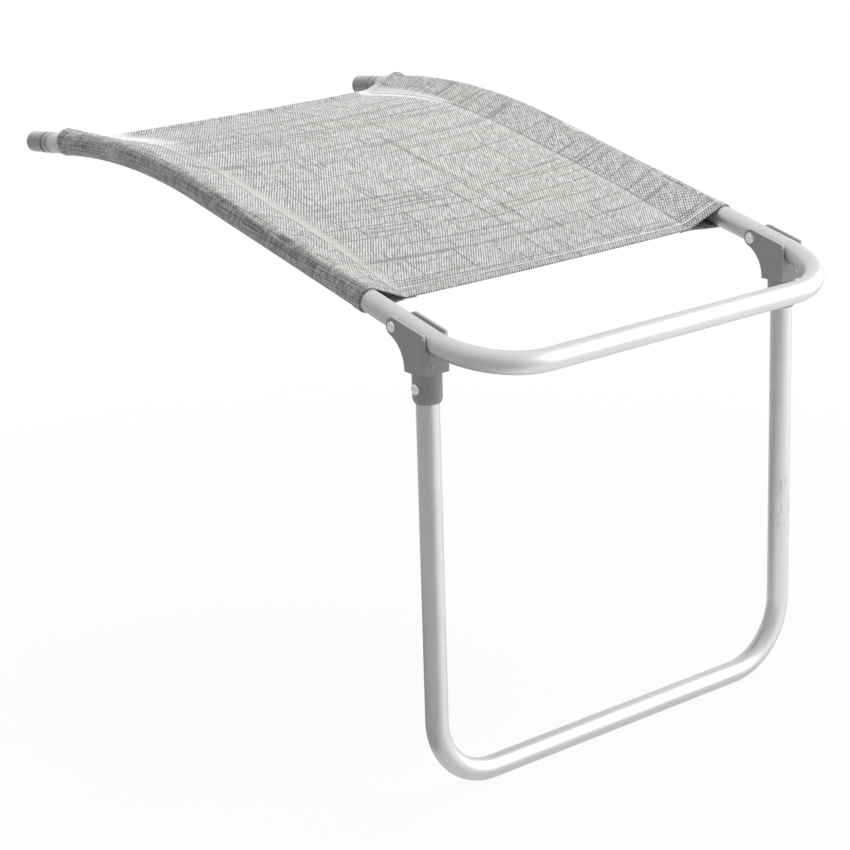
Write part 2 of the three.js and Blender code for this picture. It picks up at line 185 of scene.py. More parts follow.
class Nodes:
    """Short calls for building one material, or the world."""

    def __init__(self, owner, output="ShaderNodeOutputMaterial"):
        self.owner = owner
        owner.use_nodes = True
        self.tree = owner.node_tree
        self.tree.nodes.clear()
        self.output = self.tree.nodes.new(output)

    def put(self, socket, value):
        if isinstance(value, bpy.types.NodeSocket):
            self.tree.links.new(value, socket)
        else:
            socket.default_value = value

    def node(self, kind, inputs, **settings):
        """The outputs of a new node. Its inputs are given by index or by name."""
        made = self.tree.nodes.new(kind)
        for key, value in settings.items():
            setattr(made, key, value)
        for key, value in inputs.items():
            self.put(made.inputs[key], value)
        return made.outputs

    def math(self, operation, a, b=0.0):
        return self.node("ShaderNodeMath", {0: a, 1: b}, operation=operation)[0]

    def add(self, a, b):
        return self.math("ADD", a, b)

    def times(self, *values):
        """The product of the values. A tuple stands for a ramp."""
        product, *others = (self.ramp(*v) if isinstance(v, tuple) else v for v in values)
        for other in others:
            product = self.math("MULTIPLY", product, other)
        return product

    def larger(self, a, b):
        return self.math("MAXIMUM", a, b)

    def ramp(self, value, low, high, out_low=0.0, out_high=1.0, curve="SMOOTHSTEP"):
        inputs = {0: value, 1: low, 2: high, 3: out_low, 4: out_high}
        return self.node("ShaderNodeMapRange", inputs, interpolation_type=curve)[0]

    def between(self, value, rise, full, fall, end):
        """1 from full to fall, and 0 before rise and past end."""
        return self.times((value, rise, full), (value, fall, end, 1.0, 0.0))

    def mix(self, share, a, b):
        return self.node("ShaderNodeMix", {0: share, 6: a, 7: b}, data_type="RGBA")[2]

    def tint(self, colour, tone, *shares):
        """Lays a tone over the colour, by the product of the shares."""
        return self.mix(self.times(*shares), colour, tone)

    def blend(self, share, a, b):
        return self.node("ShaderNodeMix", {0: share, 2: a, 3: b}, data_type="FLOAT")[0]

    def attribute(self, name):
        return self.node("ShaderNodeAttribute", {}, attribute_name=name)["Vector"]

    def coordinates(self):
        return self.node("ShaderNodeTexCoord", {})["Object"]

    def split(self, vector):
        return self.node("ShaderNodeSeparateXYZ", {0: vector})

    def join(self, x, y, z=0.0):
        return self.node("ShaderNodeCombineXYZ", {0: x, 1: y, 2: z})[0]

    def scaled(self, vector, by):
        return self.node("ShaderNodeVectorMath", {0: vector, 1: by}, operation="MULTIPLY")[0]

    def noise(self, vector, scale, detail=2.0, roughness=0.5):
        inputs = {"Vector": vector, "Scale": scale, "Detail": detail, "Roughness": roughness}
        return self.node("ShaderNodeTexNoise", inputs)[0]

    def stretched(self, a, by_a, b, by_b, seed=0.0, detail=2.0, roughness=0.5):
        """Noise over two values, each multiplied by its own factor."""
        place = self.join(self.times(a, by_a), self.times(b, by_b), seed)
        return self.noise(place, 1.0, detail, roughness)

    def white(self, value, seed):
        place = self.join(value, seed)
        return self.node("ShaderNodeTexWhiteNoise", {"Vector": place}, noise_dimensions="2D")[0]

    def bump(self, height, depth, strength):
        inputs = {"Strength": strength, "Distance": depth, "Height": height}
        return self.node("ShaderNodeBump", inputs)[0]

    def shade(self, colour, roughness, normal=None, **settings):
        inputs = {"Base Color": colour, "Roughness": roughness}
        inputs.update((key.replace("_", " "), value) for key, value in settings.items())
        if normal is not None:
            inputs["Normal"] = normal
        return self.finish(self.node("ShaderNodeBsdfPrincipled", inputs)[0])

    def finish(self, shader):
        self.put(self.output.inputs[0], shader)
        return self.owner


def grey(level, warmth=0.0):
    """A grey of the given screen level (0 to 255), as linear colour, a little warm."""
    values = (level * (1 + warmth), level, level * (1 - warmth))
    linear = []
    for value in values:
        share = min(value, 255.0) / 255.0
        linear.append(share / 12.92 if share <= 0.04045 else ((share + 0.055) / 1.055) ** 2.4)
    return (*linear, 1.0)


# ---------------------------------------------------------------- stage


def add_lamp(name, place, towards, size, power):
    data = bpy.data.lights.new(name, "AREA")
    data.shape = "RECTANGLE"
    data.size, data.size_y = size
    data.energy = power
    lamp = add_object(name, data)
    aim = (Vector(towards) - Vector(place)).to_track_quat("-Z", "Y")
    lamp.matrix_world = Matrix.Translation(place) @ aim.to_matrix().to_4x4()
    return lamp


def white_share(kit):
    """1 for the rays that see the background itself, from the camera or in a reflection."""
    path = kit.node("ShaderNodeLightPath", {})
    seen = kit.larger(path["Is Camera Ray"], path["Is Glossy Ray"])
    return kit.larger(seen, path["Is Transmission Ray"])


def add_world():
    kit = Nodes(bpy.data.worlds.new("studio"), "ShaderNodeOutputWorld")
    lit, shown = (
        kit.node("ShaderNodeBackground", {"Color": WHITE, "Strength": strength})[0]
        for strength in (WORLD_LIGHT, 1.0)
    )
    mixed = kit.node("ShaderNodeMixShader", {0: white_share(kit), 1: lit, 2: shown})
    bpy.context.scene.world = kit.finish(mixed[0])


def floor_material():
    """Pale floor. Part of what is seen is plain white, more of it further out, so that it
    runs into the background and still keeps the object's shadow."""
    kit = Nodes(bpy.data.materials.new("floor"))
    place = kit.coordinates()
    distance = kit.node("ShaderNodeVectorMath", {0: place}, operation="LENGTH")["Value"]
    share = kit.times((distance, 0.5, 1.6, FLOOR_WHITE, 1.0), white_share(kit))
    colour = kit.mix(kit.noise(place, 900.0), *FLOOR_COLOURS)
    plain = kit.node("ShaderNodeBsdfDiffuse", {"Color": colour})[0]
    bright = kit.node("ShaderNodeEmission", {})[0]
    return kit.finish(kit.node("ShaderNodeMixShader", {0: share, 1: plain, 2: bright})[0])


def card_wall(radius, height, low, high):
    """A curved wall that stands on the floor, between two angles round the object."""
    verts, steps = [], 16
    for k in range(steps + 1):
        angle = math.radians(low + (high - low) * k / steps)
        for level in (0.0, height):
            verts.append((radius * math.cos(angle), radius * math.sin(angle), level))
    return verts, grid_faces(steps + 1, 2)


def grey_card(name, shape, tone, hidden):
    """A plain grey card. hidden says which kinds of ray pass through it."""
    mesh = add_mesh(name, *shape)
    made = add_object(name, mesh)
    made.location = CARD_CENTRE
    for kind in hidden:
        setattr(made, f"visible_{kind}", False)
    kit = Nodes(bpy.data.materials.new(name))
    mottle = kit.noise(kit.coordinates(), 3.0)
    tones = [(share * tone, share * tone, share * tone, 1.0) for share in (0.97, 1.0)]
    mesh.materials.append(kit.shade(kit.mix(mottle, *tones), 0.9))


WHITE = (1.0, 1.0, 1.0, 1.0)
WORLD_LIGHT = 0.5
FLOOR_WHITE = 0.95
FLOOR_COLOURS = (0.6, 0.6, 0.6, 1.0), (0.64, 0.64, 0.64, 1.0)

bpy.context.scene.view_settings.view_transform = "Standard"
add_world()
floor_z = (FRONT_BAR[2] + FOOT_Z - TUBE_RADIUS) * MM
CARD_CENTRE = (0.0, -0.4, floor_z)
FLOOR_CENTRE = (0.0, -0.45, floor_z)
FLOOR_HALF = 6.0
floor_signs = ((-1, -1), (1, -1), (1, 1), (-1, 1))
floor_corners = [(x * FLOOR_HALF, y * FLOOR_HALF, 0) for x, y in floor_signs]
floor = add_object("floor", add_mesh("floor", floor_corners, [(0, 1, 2, 3)]))
floor.location = FLOOR_CENTRE
floor.rotation_euler.z = math.pi  # the way its grain lies
floor.data.materials.append(floor_material())

# One wall on the left and in front shades the object. A paler one, with a sheet on the floor,
# is only seen in the metal, and keeps its left sides grey.
grey_card("shade_card", card_wall(3.0, 4.2, 162.0, 298.0), 0.3, ("camera", "glossy"))
grey_card("sheen_wall", card_wall(2.9, 2.4, 100.0, 250.0), 0.92, ("camera", "diffuse", "shadow"))
sheet = [(-0.3, -3.0), (-0.29, -0.46), (-0.26, -0.2), (0.12, -0.18), (0.1, 3.0)]
sheet += [(-3.0, 3.0), (-3.0, -3.0)]
sheet_shape = [(x, y, 0.003) for x, y in sheet], [tuple(range(len(sheet)))]
grey_card("sheen_sheet", sheet_shape, 0.74, ("camera", "diffuse", "shadow"))

overhead = add_lamp("overhead", (1.1, -0.3, 2.6), (0.0, -0.45, -0.1), (2.2, 2.2), 84.0)
overhead.visible_glossy = False
shine = add_lamp("shine", (2.2, -2.0, 0.75), (0.0, -0.7, -0.2), (3.0, 2.6), 80.0)
glow_place = (1.0, -1.6, floor_z + 0.004)
glow = add_lamp("glow", glow_place, (1.0, -1.6, 1.0), (2.4, 1.8), 6.0)
for lamp in (shine, glow):
    lamp.visible_diffuse = False
    lamp.visible_camera = False

# ---------------------------------------------------------------- mesh helpers

TURN_SIDES = 64
TUBE_RUN_STEP = 12.0
TUBE_EDGE = 0.35


def add_piece(name, verts, faces, material, body, nodes=()):
    """Makes a mesh object from points in millimetres from the front bar's axis."""
    mesh = add_mesh(name, ((np.asarray(verts) + FRONT_BAR) * MM).tolist(), faces)
    mesh.update()
    mesh.shade_smooth()
    mesh.materials.append(material)
    made = add_object(name, mesh)
    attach(made, body)
    if nodes:
        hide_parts(*nodes)
    return made


def set_attribute(piece, name, vectors):
    layer = piece.data.attributes.new(name, "FLOAT_VECTOR", "POINT")
    layer.data.foreach_set("vector", np.asarray(vectors, np.float32).ravel())


def modify(piece, modifiers):
    """Applies modifiers to the piece's mesh. They are given by kind, with their settings."""
    for kind, settings in modifiers.items():
        made = piece.modifiers.new(kind, kind)
        for key, value in settings.items():
            setattr(made, key, value)
    graph = bpy.context.evaluated_depsgraph_get()
    mesh = bpy.data.meshes.new_from_object(piece.evaluated_get(graph))
    piece.modifiers.clear()
    piece.data = mesh


def bent_path(corners):
    """Points and directions along straight runs with a round bend at each inner corner.
    corners holds (point, bend radius, steps)."""
    places = [np.asarray(corner[0], float) for corner in corners]
    points, tangents = [], []

    def add(point, tangent):
        if points:
            gap = np.linalg.norm(point - points[-1])
            steps = int(gap // TUBE_RUN_STEP)
            before, heading = points[-1], tangents[-1]
            for k in range(1, steps):
                points.append(before + (point - before) * k / steps)
                tangents.append(heading)
        points.append(point)
        tangents.append(tangent)

    add(places[0], unit(places[1] - places[0]))
    for i in range(1, len(places) - 1):
        into = unit(places[i] - places[i - 1])
        out = unit(places[i + 1] - places[i])
        turn = math.acos(float(np.clip(into @ out, -1, 1)))
        radius, steps = corners[i][1], corners[i][2]
        start = places[i] - into * radius * math.tan(turn / 2)
        inward = unit(out - into * (into @ out))
        for k in range(steps + 1):
            angle = turn * k / steps
            offset = into * math.sin(angle) + inward * (1 - math.cos(angle))
            add(start + radius * offset, into * math.cos(angle) + inward * math.sin(angle))
    add(places[-1], unit(places[-1] - places[-2]))
    return np.array(points), np.array(tangents)


def add_tube(name, corners, material, body, nodes):
    """A hollow tube along a bent path, with square-cut ends. The attribute "run" holds each
    point's way along the tube and its place round it, in metres."""
    points, tangents = bent_path(corners)
    ahead = np.zeros_like(points)
    frame_x = np.array([0.0, 0.0, 1.0])
    frame_x -= tangents[0] * (frame_x @ tangents[0])
    if np.linalg.norm(frame_x) < 0.1:
        frame_x = np.array([0.0, 1.0, 0.0])
    frame_x = unit(frame_x)
    for i, tangent in enumerate(tangents):
        frame_x = unit(frame_x - tangent * (frame_x @ tangent))
        ahead[i] = frame_x
    run = way_along(points)
    angles = np.arange(TURN_SIDES) * 2 * math.pi / TURN_SIDES
    edge, end = TUBE_EDGE, len(points) - 1
    first = [(0, BORE_RADIUS, 0.0), (0, TUBE_RADIUS - edge, 0.0), (0, TUBE_RADIUS, edge)]
    outside = [(i, TUBE_RADIUS, 0.0) for i in range(1, end)]
    last = [(end, TUBE_RADIUS, -edge), (end, TUBE_RADIUS - edge, 0.0), (end, BORE_RADIUS, 0.0)]
    bore = [(i, BORE_RADIUS, 0.0) for i in range(end - 1, 0, -1)]
    rings = first + outside + last + bore
    verts, marks = [], []
    for i, radius, shift in rings:
        side = np.cross(tangents[i], ahead[i])
        for angle in angles:
            spoke = math.cos(angle) * ahead[i] + math.sin(angle) * side
            verts.append(points[i] + radius * spoke + shift * tangents[i])
            marks.append((run[i], radius * math.cos(angle), radius * math.sin(angle)))
    faces = grid_faces(len(rings), TURN_SIDES, True, True)
    piece = add_piece(name, verts, faces, material, body, nodes)
    set_attribute(piece, "run", np.array(marks) * MM)
    piece.data.set_sharp_from_angle(angle=math.radians(50))
    return piece


def turned(profile, place, outward, sides=TURN_SIDES):
    """Points and faces of a shape turned about a line. The profile's points are [along, radius],
    from one end of the line to the other; place is its zero and outward its direction."""
    outward = unit(np.asarray(outward, float))
    across = unit(np.cross(outward, [0.0, 0.0, 1.0]))
    above = np.cross(across, outward)
    verts, rows = [], []
    for along, radius in profile:
        start = len(verts)
        if radius < 1e-6:
            verts.append(np.asarray(place) + outward * along)
            rows.append([start] * sides)
            continue
        for k in range(sides):
            angle = 2 * math.pi * k / sides
            spoke = across * math.cos(angle) + above * math.sin(angle)
            verts.append(np.asarray(place) + outward * along + spoke * radius)
        rows.append(list(range(start, start + sides)))
    faces = []
    for low, high in zip(rows[:-1], rows[1:]):
        for k in range(sides):
            n = (k + 1) % sides
            loop = tuple(dict.fromkeys((low[k], low[n], high[n], high[k])))
            if len(loop) > 2:
                faces.append(loop)
    return verts, faces


def add_turned(node, profile, place, outward, finish, body, sides=TURN_SIDES):
    """A turned piece that stands for one node."""
    verts, faces = turned(profile, place, outward, sides)
    piece = add_piece(f"{node}_turned", verts, faces, finish, body, [node])
    piece.data.set_sharp_from_angle(angle=math.radians(60))


def rounded(profile, radius, steps):
    """The profile with its inner corners rounded."""
    points = [np.array(p, float) for p in profile]
    result = [points[0]]
    for before, corner, after in zip(points[:-2], points[1:-1], points[2:]):
        into, out = before - corner, after - corner
        reach = min(radius, np.linalg.norm(into) * 0.45, np.linalg.norm(out) * 0.45)
        a, b = corner + unit(into) * reach, corner + unit(out) * reach
        for k in range(steps + 1):
            t = k / steps
            result.append(a * (1 - t) ** 2 + corner * 2 * t * (1 - t) + b * t**2)
    result.append(points[-1])
    return [tuple(p) for p in result]


# ---------------------------------------------------------------- materials

TUBE_METAL = 0.7
SCUFF_LOW, SCUFF_TOP, SCUFF_FADE = -0.39, -0.325, 0.012


def tube_material():
    """Satin anodised aluminium: fine lines drawn along the tube, a faint mottle and a few
    scuffs on the leg's right upright."""
    kit = Nodes(bpy.data.materials.new("anodised_tube"))
    run = kit.attribute("run")
    drawn = kit.noise(kit.scaled(run, (4.0, 900.0, 900.0)), 1.0, 3.0)
    mottle = kit.noise(run, 260.0, 3.0, 0.6)
    patches = kit.noise(run, 22.0)
    colour = kit.mix(drawn, grey(203, 0.007), grey(213, 0.007))
    colour = kit.tint(colour, grey(197, 0.008), (patches, 0.35, 0.7, 0.0, 0.35))
    colour = kit.tint(colour, grey(219, 0.005), (mottle, 0.3, 0.75, 0.0, 0.25))
    x, _, z = kit.split(kit.coordinates())
    rubs = kit.noise(kit.scaled(run, (90.0, 420.0, 420.0)), 1.0, 3.0)
    scuffs = kit.times(
        (x, 0.19, 0.2),
        (z, SCUFF_LOW, SCUFF_LOW + SCUFF_FADE),
        (z, SCUFF_TOP, SCUFF_TOP - SCUFF_FADE),
        (rubs, 0.58, 0.66),
    )
    colour = kit.tint(colour, grey(128, 0.01), scuffs, 0.32)
    roughness = kit.ramp(mottle, 0.2, 0.8, 0.36, 0.46, "LINEAR")
    height = kit.add(kit.times(drawn, 0.7), kit.times(kit.noise(run, 2600.0), 0.5))
    return kit.shade(colour, roughness, kit.bump(height, 0.00005, 0.5), Metallic=TUBE_METAL)


def painted_highlight_spots(kit, x, y, z):
    """Where highlights are painted: 1 at the tips of the cheeks' front ends and at the small pip,
    fading down the ends.
    """
    block = kit.add(kit.math("ABSOLUTE", x), -LEG_X * MM)
    high = kit.add(z, -(FRONT_BAR[2] + PIVOT_Z) * MM)
    back = kit.add(y, -(FRONT_BAR[1] + LEG_Y - BLOCK_HALF_LENGTH) * MM)
    aside = kit.add(kit.math("ABSOLUTE", block), -(BRACKET_HALF_WIDTH + CHEEK_GAP / 2) / 2 * MM)

    def disc(a, b, inner, outer):
        gap = kit.math("SQRT", kit.add(kit.times(a, a), kit.times(b, b)))
        return kit.ramp(gap, inner * MM, outer * MM, 1.0, 0.0)

    tip = disc(aside, kit.times(kit.add(high, -NOSE_TIP * MM), 0.7), 0.9, 1.9)
    pip = disc(
        kit.add(block, -PIP_OFFSET * MM), kit.add(high, (BLOCK_DROP - PIP_RISE) * MM), 0.6, 1.1
    )
    strip = kit.times(
        (kit.math("ABSOLUTE", aside), 0.4 * MM, 1.4 * MM, 0.3, 0.0), (high, -22.0 * MM, -6.0 * MM)
    )
    spots = kit.larger(tip, kit.larger(pip, strip))
    return kit.times(spots, (back, 1.2 * MM, 2.2 * MM, 1.0, 0.0))


def bracket_material():
    """Grey moulded plastic with a fine spark-eroded grain. Its sharp edges are painted paler as a
    highlight, and painted highlights lie on the cheeks' front tips and the pip, which are also
    shinier.
    """
    kit = Nodes(bpy.data.materials.new("moulded_plastic"))
    place = kit.coordinates()
    grain = kit.noise(place, 3200.0, 3.0, 0.6)
    cloudy = kit.noise(place, 90.0, 3.0)
    edge = kit.node("ShaderNodeNewGeometry", {})["Pointiness"]
    colour = kit.mix(cloudy, grey(174, 0.006), grey(184, 0.006))
    # Painted highlight along the sharp edges
    colour = kit.tint(colour, grey(204, 0.006), (edge, 0.52, 0.62), 0.3)
    colour = kit.tint(colour, grey(156, 0.008), (grain, 0.3, 0.7, 0.0, 0.2))
    # Painted highlights on the cheeks' front tips and the pip, where the plastic is also made
    # shinier
    highlight_and_shine = painted_highlight_spots(kit, *kit.split(place))
    colour = kit.tint(colour, grey(252), highlight_and_shine)
    roughness = kit.ramp(grain, 0.2, 0.8, 0.34, 0.48, "LINEAR")
    roughness = kit.blend(highlight_and_shine, roughness, 0.15)
    normal = kit.bump(grain, 0.00008, 0.6)
    return kit.shade(colour, roughness, normal, Specular_IOR_Level=0.3)


def rivet_material():
    """Bright zinc-plated steel with fine turning marks and small dents."""
    kit = Nodes(bpy.data.materials.new("bright_rivet"))
    place = kit.coordinates()
    fine = kit.noise(place, 2400.0, 3.0)
    dents = kit.noise(place, 700.0)
    colour = kit.mix(fine, grey(226, 0.004), grey(244, 0.002))
    roughness = kit.ramp(dents, 0.3, 0.7, 0.2, 0.3, "LINEAR")
    height = kit.add(kit.times(fine, 0.3), dents)
    return kit.shade(colour, roughness, kit.bump(height, 0.00006, 0.4), Metallic=1.0)


def plug_material():
    """Glossy dark grey plastic with faint flow marks."""
    kit = Nodes(bpy.data.materials.new("glossy_plug"))
    place = kit.coordinates()
    flow = kit.noise(place, 140.0)
    fine = kit.noise(place, 2600.0)
    colour = kit.mix(kit.ramp(flow, 0.35, 0.65), grey(148, -0.01), grey(160, -0.01))
    roughness = kit.ramp(flow, 0.2, 0.8, 0.07, 0.13, "LINEAR")
    bump = kit.bump(fine, 0.00004, 0.3)
    return kit.shade(colour, roughness, bump, Coat_Weight=1.0, Coat_Roughness=0.05)


def twisted_ply(name, low, high):
    """The twisted ply of a sewing thread: its nodes, bump and colour, and where it lies."""
    kit = Nodes(bpy.data.materials.new(name))
    place = kit.coordinates()
    twist = kit.noise(place, 1800.0)
    x, y, _ = kit.split(place)
    return kit, kit.bump(twist, 0.0002, 0.6), kit.mix(twist, low, high), x, y


def thread_material():
    """White sewing thread, greyer towards the left and at the rear."""
    kit, bump, colour, x, y = twisted_ply("thread", grey(244, 0.004), grey(255))
    clean = kit.times((x, -0.18, -0.08), (y, -0.3, -0.4))
    return kit.shade(kit.mix(clean, grey(196, 0.01), colour), 0.75, bump)


def dark_thread_material():
    """Grey sewing thread for the pocket seams, paler on the left and towards the rear."""
    kit, bump, colour, x, y = twisted_ply("seam_thread", grey(150, 0.01), grey(190, 0.01))
    pale = kit.larger(kit.ramp(x, 0.0, -0.1), kit.ramp(y, -0.235, -0.205))
    return kit.shade(kit.tint(colour, grey(236, 0.004), pale, 0.8), 0.8, bump)


WARP_PITCH = 1.54
WEFT_PITCH = 2.2
# The left seam's stitches and its pale band lie this far up the slope of the cloth
LEFT_SEAM_SHIFT = 7.0
# Strips of the cloth, in millimetres: where each begins, is full, fades and ends. These lie
# at a distance inside the pocket seam, less than 0 on the rail's side of it.
SHADOW = (-48.0, -53.0, -57.0, -63.0)
DOUBLE_CLOTH = (0.5, 2.0, 11.5, 16.0)
SEAM_LINE = (-1.8, -0.6, 0.2, 1.2)
LEFT_PALE_WEDGE = (0.0, 5.0, 14.0, 36.0)
# And this one lies at a distance from the front edge
FRONT_HEM = (11.0, 13.0, 19.5, 21.0)


class WovenMesh(Nodes):
    """Coated yarn in a plain open weave. The attribute "cloth" holds, in millimetres, the
    place across the cloth, the place along it, and how far inside the pocket seam it is."""

    def __init__(self):
        super().__init__(bpy.data.materials.new("woven_mesh"))
        self.across, along, self.inside = self.split(self.attribute("cloth"))
        wander = self.stretched(self.across, 0.012, along, 0.012, detail=1.0)
        self.along = self.add(along, self.times(self.add(wander, -0.5), 6.0))
        self.on_right = self.ramp(self.across, 0.0, 20.0)
        u = self.math("DIVIDE", self.across, WARP_PITCH)
        v = self.math("DIVIDE", self.along, WEFT_PITCH)
        self.column, self.round_u = self.math("FLOOR", u), self.arch(u)
        self.row, self.round_v = self.math("FLOOR", v), self.arch(v)
        self.warp_tone = self.stretched(self.column, 7.31, self.along, 0.045, roughness=0.6)

    def arch(self, count):
        """1 along the middle of each yarn, 0 along its edges."""
        middle = self.add(self.math("FRACT", count), -0.5)
        return self.math("COSINE", self.times(middle, math.pi))

    def parity(self, yarn):
        return self.add(self.times(self.math("FLOORED_MODULO", yarn, 2.0), 2.0), -1.0)

    def clipped(self, value):
        return self.math("MINIMUM", self.larger(value, 0.0), 1.0)

    def yarns(self):
        """Each yarn is arched across its width and rises over every second crossing. It has
        its own tone, which drifts along it."""
        over = self.times(self.parity(self.column), self.parity(self.row))
        warp = self.times(self.round_u, self.add(self.times(over, self.round_v, 0.5), 0.5))
        weft = self.times(self.round_v, self.add(self.times(over, self.round_u, -0.5), 0.5))
        self.top = self.larger(warp, weft)
        weft_tone = self.stretched(self.across, 0.022, self.row, 5.17, 40.0, roughness=0.6)
        dash = self.white(self.add(self.times(self.column, 13.7), self.times(self.row, 3.1)), 2.0)
        dash = self.add(dash, -0.5)
        warp_light = self.add(self.ramp(self.warp_tone, 0.3, 0.7), self.times(dash, 1.3))
        weft_light = self.add(self.ramp(weft_tone, 0.3, 0.68), self.times(dash, -1.3))
        return self.mix(
            self.ramp(self.math("SUBTRACT", warp, weft), -0.2, -0.08),
            self.mix(self.clipped(weft_light), grey(20, 0.02), grey(122, 0.02)),
            self.mix(self.clipped(warp_light), grey(243, 0.012), grey(255, 0.004)),
        )

    def with_flaws(self, colour):
        # Uneven tension shows along the crossings' diagonals: runs of a few cells stand out
        diagonal = self.math("SUBTRACT", self.column, self.row)
        other = self.add(self.column, self.row)
        patch = self.stretched(diagonal, 7.77, other, 0.1, 3.0, detail=1.0)
        colour = self.tint(colour, grey(60, 0.02), (patch, 0.5, 0.68, 0.0, 0.3))
        colour = self.tint(colour, grey(255), (patch, 0.5, 0.34, 0.0, 0.32))
        # Slubs: now and then a darker yarn, for part of its length
        weft_slub = self.times(
            (self.white(self.row, 11.0), 0.7, 0.84),
            (self.stretched(self.across, 0.011, self.row, 3.3, 7.0), 0.42, 0.56),
            (self.round_v, 0.35, 0.85),
        )
        warp_slub = self.times(
            (self.white(self.column, 23.0), 0.9, 0.96),
            (self.stretched(self.column, 2.7, self.along, 0.02, 9.0), 0.46, 0.6),
            (self.round_u, 0.25, 0.75),
        )
        colour = self.tint(colour, grey(78, 0.03), self.larger(weft_slub, warp_slub), 0.8)
        # The holes of the mesh are dark
        return self.tint(colour, grey(24, 0.02), (self.top, 0.12, 0.42, 1.0, 0.0), 0.8)

    def with_sleeve(self, colour):
        """Round the tube the lengthwise yarns stand out, with darker gaps between them."""
        round_part = self.ramp(self.inside, -46.0, -34.0, 1.0, 0.0)
        stripe = self.mix(self.ramp(self.round_u, 0.15, 0.8), grey(76, 0.02), grey(212, 0.012))
        crossings = self.stretched(self.across, 0.1, self.row, 6.13, 5.0, detail=1.0)
        lines = self.stretched(self.across, 0.9, self.along, 0.02)
        on_yarn = (self.round_v, 0.2, 0.9, 0.25, 1.0)
        for tone, *shares in (
            (stripe, (self.warp_tone, 0.25, 0.75, 0.1, 0.6)),
            (grey(40, 0.02), (crossings, 0.5, 0.6, 0.0, 0.34)),
            (grey(236, 0.012), (crossings, 0.5, 0.4, 0.0, 0.36)),
            (grey(56, 0.02), (lines, 0.52, 0.62, 0.0, 0.52)),
            (grey(232, 0.012), (lines, 0.46, 0.36, 0.0, 0.75), on_yarn),
        ):
            colour = self.tint(colour, tone, round_part, *shares)
        # Painted shade on its upper outer side, which faces the dim upper left, and a painted paler
        # underside, where the floor's light falls
        streaks = self.stretched(self.across, 0.5, self.along, 0.012)
        streaks = (streaks, 0.3, 0.7, 0.12, 0.42)
        colour = self.tint(colour, grey(60, 0.02), self.between(self.inside, *SHADOW), streaks)
        return self.tint(colour, grey(220, 0.012), (self.inside, -60.0, -66.0, 0.0, 0.16))

    def with_seam(self, colour):
        """Between the seam and the turned-in edge the cloth is double: paler and smoother."""
        from_seam = self.add(self.inside, self.blend(self.on_right, LEFT_SEAM_SHIFT, 0.0))
        self.band = self.between(from_seam, *DOUBLE_CLOTH)
        rear_end = self.blend(self.on_right, 400.0, 370.0)
        rear_share = self.ramp(self.along, 280.0, rear_end, 1.0, 0.0)
        share = self.times(
            (self.along, 30.0, 130.0, 0.2, 0.78),
            self.larger(rear_share, self.blend(self.on_right, 0.4, 0.0)),
            self.blend(self.on_right, 1.0, 0.45),
        )
        band_tone = self.mix(self.on_right, grey(200, 0.014), grey(180, 0.014))
        colour = self.tint(colour, band_tone, self.band, share)
        colour = self.tint(colour, grey(118, 0.03), self.between(self.along, *FRONT_HEM), 0.18)
        colour = self.with_pale_wedges(colour)
        line = self.between(from_seam, *SEAM_LINE)
        return self.tint(colour, grey(120, 0.02), line, self.blend(self.on_right, 0.1, 0.2))

    def with_pale_wedges(self, colour):
        """The ends of the panel's rear are paler in wedges. The right one lies over the seam."""
        colour = self.tint(
            colour,
            grey(254, 0.004),
            self.between(self.inside, *LEFT_PALE_WEDGE),
            (self.along, 380.0, 480.0),
            (self.across, -20.0, -60.0),
            0.84,
        )
        reach = self.ramp(self.along, 385.0, 500.0, 5.0, 15.0, "LINEAR")
        gap = self.math("SUBTRACT", reach, self.math("ABSOLUTE", self.inside))
        return self.tint(
            colour,
            grey(250, 0.004),
            (gap, -3.0, 4.0),
            (self.along, 375.0, 410.0),
            (self.across, 20.0, 60.0),
            0.6,
        )

    def with_streaks_and_shade(self, colour):
        """Faint dull streaks across the panel and more grey to the rear. The right slope, which
        faces away from the light, gets painted shade, more towards the rear.
        """
        streaks = self.stretched(self.across, 0.007, self.along, 0.16, detail=3.0)
        colour = self.tint(colour, grey(128, 0.03), (streaks, 0.42, 0.72, 0.0, 0.1))
        colour = self.tint(colour, grey(120, 0.03), (self.along, 300.0, 520.0, 0.0, 0.05))
        # Painted shade on the right slope, which faces the dim left side
        slope = (self.inside, -2.0, -8.0)
        share = (self.along, 150.0, 450.0, 0.06, 0.16)
        return self.tint(colour, grey(110, 0.03), self.on_right, slope, share)

    def finished(self):
        colour = self.with_sleeve(self.with_flaws(self.yarns()))
        colour = self.with_streaks_and_shade(self.with_seam(colour))
        height = self.blend(self.times(self.band, 0.6), self.top, 0.8)
        bump = self.bump(height, 0.0005, 0.8)
        roughness = self.blend(self.band, 0.62, 0.5)
        return self.shade(colour, roughness, bump, Sheen_Weight=0.15, Sheen_Roughness=0.5)


tube_finish = tube_material()
bracket_finish = bracket_material()
rivet_finish = rivet_material()
plug_finish = plug_material()
mesh_finish = WovenMesh().finished()
thread_finish = thread_material()
seam_thread_finish = dark_thread_material()

# ---------------------------------------------------------------- tubes


def seat_tube():
    vertex_y = REAR_VERTEX * math.cos(SLOPE)
    vertex_z = REAR_VERTEX * math.sin(SLOPE)
    end_y = vertex_y + (BEND_SETBACK + REAR_END_RUN) * math.cos(DIP)
    end_z = vertex_z - (BEND_SETBACK + REAR_END_RUN) * math.sin(DIP)
    corners = []
    for side in (-1, 1):
        half = [
            ((side * rail_x(end_y), end_y, end_z), 0, 0),
            ((side * rail_x(vertex_y), vertex_y, vertex_z), REAR_BEND_RADIUS, 30),
            ((side * rail_x(0.0), 0.0, 0.0), FRONT_CORNER_RADIUS, 28),
        ]
        corners += half if side < 0 else half[::-1]
    add_tube("seat_tube_bent", corners, tube_finish, "seat", ["seat_tube"])
    before = np.array(corners[1][0], float)
    end = np.array(corners[0][0], float)
    return end, unit(end - before)


